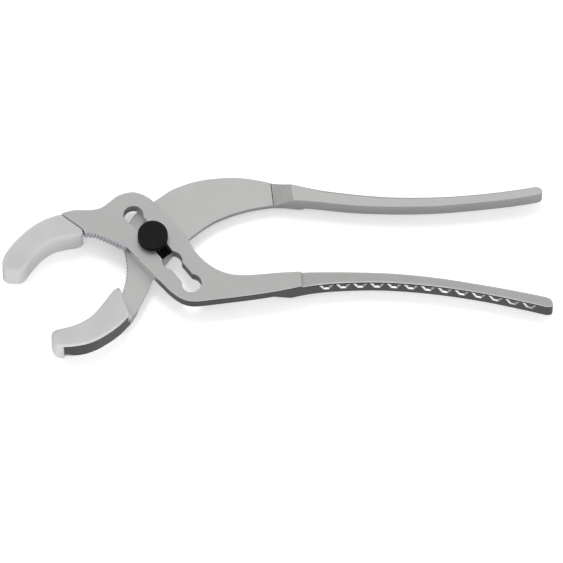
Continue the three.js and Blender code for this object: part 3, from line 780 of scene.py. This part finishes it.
apply_boolean(rear, cyl("bore", 3.3, 0, 10, *PIVOT), "DIFFERENCE")
apply_boolean(rear, cyl("cbore", 7.1, 0, 3.65, *PIVOT), "DIFFERENCE")
apply_boolean(rear, slot_block("seat", -6.3, 9.0, 6.3, 6.05, 10), "DIFFERENCE")
wall = [p for p, t in zip(rpts, rtags) if t == "grip" and p[0] > 5]
cut = grip_cutters("cut_b", wall, 1, 17.9, 13, 7.65, taper=lambda x: 1.0 - 0.25 * smooth01((x - 60) / 60))
apply_boolean(rear, cut, "DIFFERENCE")

for ob, nodename, body in ((front, "front_lever", "front"), (rear, "rear_lever", "rear")):
    finish_shading(ob)
    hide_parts(nodename)
    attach(ob, body)


# ------------------------------------------------------------- jaw covers
def jaw_cover(name, outline, jaw_pts, mouth, tip_of, body, nodename):
    pts, tags = trace(outline, 0.6)
    if signed_area(pts) < 0:
        pts, tags = pts[::-1], tags[::-1]
    rad = {"back": (0.8, 0.8), "tip": (2.4, 3.2), "inner": (1.8, 2.0), "end": (0.9, 0.9)}
    radb = {"back": (0.8, 0.8), "tip": (2.6, 6.5), "inner": (1.6, 1.8), "end": (0.9, 0.9)}
    rb = np.array([radb[t] for t in tags], float)
    rt = np.array([rad[t] for t in tags], float)
    for _ in range(14):
        rt = (np.roll(rt, 1, axis=0) + rt + np.roll(rt, -1, axis=0)) / 3
        rb = (np.roll(rb, 1, axis=0) + rb + np.roll(rb, -1, axis=0)) / 3
    # set-back values for the lower lip along the jaw's back edge
    low = np.array([{"back": 1.75, "tip": 0.4, "inner": 0.0, "end": 0.0}[t] for t in tags])
    for _ in range(3):
        low = (np.roll(low, 1) + low + np.roll(low, -1)) / 3
    ob = slab(name, pts, lambda x, y: 16.0, lambda x, y: 0.0, rt, rb, mats=(WHITE, WHITE), seg=8, mid=4)
    n = -normals(jaw_pts)
    grown = [p - q * 0.28 for p, q in zip(jaw_pts, n)]
    inner = slab(name + "_in", grown, lambda x, y: 14.3, lambda x, y: 1.7, np.full((len(grown), 2), 0.3),
                 np.full((len(grown), 2), 0.3), mats=(WHITE, WHITE), seg=2)
    apply_boolean(ob, inner, "DIFFERENCE")
    m = [np.array(p, float) for p in mouth]
    if signed_area(m) < 0:
        m = m[::-1]
    open_ = slab(name + "_open", m, lambda x, y: 14.3, lambda x, y: -1.0, np.full((len(m), 2), 0.05),
                 np.full((len(m), 2), 0.05), mats=(WHITE, WHITE), seg=1)
    apply_boolean(ob, open_, "DIFFERENCE")
    finish_shading(ob, 40)
    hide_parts(nodename)
    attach(ob, body)
    return ob


jaw_cover("front_cover_fine", FRONT_COVER, fjaw,
          [(-123.0, 12.6), (-121.5, 14.2), (-114.9, 20.2), (-108.5, 23.8), (-102.2, 25.8), (-93.4, 20.0), (-94.9, 18.7),
           (-90.0, 19.0), (-88, 24), (-98, 34), (-112, 30), (-122, 22)], None, "front", "front_jaw_cover")
jaw_cover("rear_cover_fine", REAR_COVER, rjaw,
          [(-100.3, -37.6), (-96.0, -37.4), (-90, -36.3), (-84.8, -34.2), (-81.2, -32.0), (-77.5, -29.4), (-73.8, -26.3),
           (-74.2, -18.0), (-75.9, -12.7), (-75.0, -11.7), (-70.0, -9.0), (-66.0, -20.0), (-70.0, -30.0), (-82, -41),
           (-100.3, -44)], None, "rear", "rear_jaw_cover")


# ------------------------------------------------------------ small pieces
def turned(name, profile, mat, n=96):
    """Closed solid of revolution about the pivot axis; profile is (radius, z) from axis to axis."""
    vs, fs = [], []
    rows = []
    for r, z in profile:
        if r < 1e-6:
            vs.append((PIVOT[0], PIVOT[1], z))
            rows.append([len(vs) - 1])
        else:
            row = []
            for k in range(n):
                a = 2 * math.pi * k / n
                vs.append((PIVOT[0] + r * math.cos(a), PIVOT[1] + r * math.sin(a), z))
                row.append(len(vs) - 1)
            rows.append(row)
    for a, b in zip(rows[:-1], rows[1:]):
        for k in range(n):
            j = (k + 1) % n
            if len(a) == 1 and len(b) == 1:
                continue
            if len(a) == 1:
                fs.append((a[0], b[j], b[k]))
            elif len(b) == 1:
                fs.append((a[k], a[j], b[0]))
            else:
                fs.append((a[k], a[j], b[j], b[k]))
    return to_object(name, vs, fs, (mat,))


def fillet(cx, cz, r, a0, a1, n=6):
    return [(cx + r * math.cos(math.radians(a0 + (a1 - a0) * k / n)),
             cz + r * math.sin(math.radians(a0 + (a1 - a0) * k / n))) for k in range(n + 1)]


button = turned("push_button_fine",
                [(0, 18.3), (4.2, 18.3), (4.2, 17.75), (4.35, 17.6), (6.7, 17.6)] + fillet(6.7, 17.85, 0.25, -90, 0, 4)
                + [(6.95, 18.3)] + fillet(6.45, 18.35, 0.5, 0, 62, 6) + [(6.2, 18.94), (5.9, 19.0), (5.4, 19.0), (0, 19.0)],
                BLACK)
finish_shading(button, 30)
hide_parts("push_button")
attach(button, "button")

fl = turned("slide_guide_fine",
            [(0, 14.85), (6.75, 14.85)] + fillet(6.75, 15.1, 0.25, -90, 0, 4) + fillet(6.75, 15.75, 0.25, 0, 90, 4)
            + [(4.4, 16.0), (4.2, 15.9), (4.2, 15.3), (0, 15.3)], BLACK)
tongue_pts = [np.array(along(*ab)) for ab in
              [(-4.3 * math.cos(math.radians(t)), -4.3 * math.sin(math.radians(t))) for t in range(-43, 44, 6)]
              + [(4.3 * math.cos(math.radians(t)), 4.3 * math.sin(math.radians(t))) for t in range(-43, 44, 6)]]
if signed_area(tongue_pts) < 0:
    tongue_pts = tongue_pts[::-1]
tg = slab("tongue", tongue_pts, lambda x, y: 15.0, lambda x, y: 9.95, np.full((len(tongue_pts), 2), 0.05),
          np.full((len(tongue_pts), 2), 0.2), mats=(BLACK, BLACK), seg=2)
apply_boolean(fl, tg, "UNION")
apply_boolean(fl, cyl("stem", 2.1, 0, 20, *PIVOT), "DIFFERENCE")
finish_shading(fl, 30)
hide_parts("slide_guide")
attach(fl, "guide")

def coil(name, turns, r0, r1, z0, z1, wire, per=40, around=10):
    """Wire coil about the pivot axis, a little conical so that its turns nest."""
    n = int(turns * per)
    vs, fs = [], []
    for i in range(n + 1):
        t = i / n
        a = 2 * math.pi * turns * t
        rr, zz = r0 + (r1 - r0) * t, z0 + (z1 - z0) * t
        for k in range(around):
            b = 2 * math.pi * k / around
            q = rr + wire * math.cos(b)
            vs.append((PIVOT[0] + q * math.cos(a), PIVOT[1] + q * math.sin(a), zz + wire * math.sin(b)))
    for i in range(n):
        for k in range(around):
            j = (k + 1) % around
            fs.append((i * around + k, i * around + j, (i + 1) * around + j, (i + 1) * around + k))
    fs.append(tuple(range(around))[::-1])
    fs.append(tuple(range(n * around, (n + 1) * around)))
    return to_object(name, vs, fs, (STEEL,))


spring = coil("return_spring_fine", 2.25, 3.2, 2.75, 15.85, 17.75, 0.25)
finish_shading(spring, 50, weighted=False)
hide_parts("return_spring")
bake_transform(spring)

for nodename, mat in (("pin_block", BLACK), ("pivot_pin", STEEL), ("locking_collar", STEEL),
                      ("back_washer", STEEL), ("retaining_ring", STEEL)):
    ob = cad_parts[nodename]
    ob = ob if hasattr(ob, "data") else bpy.data.objects[nodename]
    ob.data.materials.clear()
    ob.data.materials.append(mat)
    bv = ob.modifiers.new("edge", "BEVEL")
    bv.width = 0.00012
    bv.segments = 2
    bv.limit_method = "ANGLE"
    bv.angle_limit = math.radians(40)
    bv.use_clamp_overlap = True

# ----------------------------------------------------------- floor and light
floor_me = bpy.data.meshes.new("floor")
zf = CAD_LO.z
floor_me.from_pydata([(-4, -4, zf), (4, -4, zf), (4, 4, zf), (-4, 4, zf)], [], [(0, 1, 2, 3)])
floor = bpy.data.objects.new("floor", floor_me)
bpy.context.scene.collection.objects.link(floor)
fm, nt, b = new_mat("pale_floor")
b.inputs["Base Color"].default_value = (0.92, 0.92, 0.92, 1)
b.inputs["Roughness"].default_value = 0.9
b.inputs["Specular IOR Level"].default_value = 0.0
b.inputs["Emission Color"].default_value = (1, 1, 1, 1)
b.inputs["Emission Strength"].default_value = 0.26
floor_me.materials.append(fm)
floor.visible_glossy = False

world = bpy.data.worlds.new("studio")
bpy.context.scene.world = world
world.use_nodes = True
wn = world.node_tree
bg = wn.nodes["Background"]
tc = node(wn, "ShaderNodeTexCoord")
sep = node(wn, "ShaderNodeSeparateXYZ")
wn.links.new(tc.outputs["Generated"], sep.inputs[0])
up = node(wn, "ShaderNodeMath", operation="MULTIPLY_ADD")
wn.links.new(sep.outputs["Z"], up.inputs[0])
up.inputs[1].default_value = 0.5
up.inputs[2].default_value = 0.5


def level(z, v):
    return (z * 0.5 + 0.5, (v,) * 3)


upper = ramp(wn, up.outputs[0], [level(-1, 0.135), level(-0.86, 0.14), level(-0.74, 0.06), level(-0.62, 0.012),
                                 level(0.12, 0.012), level(0.28, 0.6), level(0.38, 1.25), level(0.58, 1.25),
                                 level(0.72, 0.82), level(0.86, 0.72), level(1, 0.70)])
lower = ramp(wn, up.outputs[0], [level(-0.86, 0.0), level(-0.68, 0.7), level(-0.35, 0.9), level(-0.14, 0.0)])
across = node(wn, "ShaderNodeMath", operation="MULTIPLY_ADD")
wn.links.new(sep.outputs["X"], across.inputs[0])
across.inputs[1].default_value = 0.5
across.inputs[2].default_value = 0.5
side = ramp(wn, across.outputs[0], [level(-1, 0.5), level(-0.5, 0.5), level(-0.3, 0.0), level(0.3, 0.0),
                                    level(0.5, 1.2), level(1, 1.2)])
low = node(wn, "ShaderNodeVectorMath", operation="MULTIPLY")
wn.links.new(lower, low.inputs[0])
wn.links.new(side, low.inputs[1])
both = node(wn, "ShaderNodeVectorMath", operation="ADD")
wn.links.new(upper, both.inputs[0])
wn.links.new(low.outputs[0], both.inputs[1])
wn.links.new(both.outputs[0], bg.inputs["Color"])
bg.inputs["Strength"].default_value = 1.0


def area(name, loc, size, power, target=(0, 0, 0), glossy=True):
    ld = bpy.data.lights.new(name, "AREA")
    ld.shape = "RECTANGLE"
    ld.size, ld.size_y = size
    ld.energy = power
    ob = bpy.data.objects.new(name, ld)
    ob.location = loc
    ob.rotation_mode = "QUATERNION"
    ob.rotation_quaternion = (Vector(target) - Vector(loc)).to_track_quat("-Z", "Y")
    ob.visible_camera = False
    ob.visible_glossy = glossy
    bpy.context.scene.collection.objects.link(ob)
    return ob


area("key", (-0.12, 0.42, 1.0), (0.32, 0.32), 3.6, glossy=False)
area("front", (0.0, -0.98, 0.16), (1.2, 0.28), 6.2, glossy=False)

sc = bpy.context.scene
sc.view_settings.view_transform = "Standard"
sc.view_settings.look = "None"
sc.view_settings.exposure = 0.0
sc.view_settings.gamma = 1.0
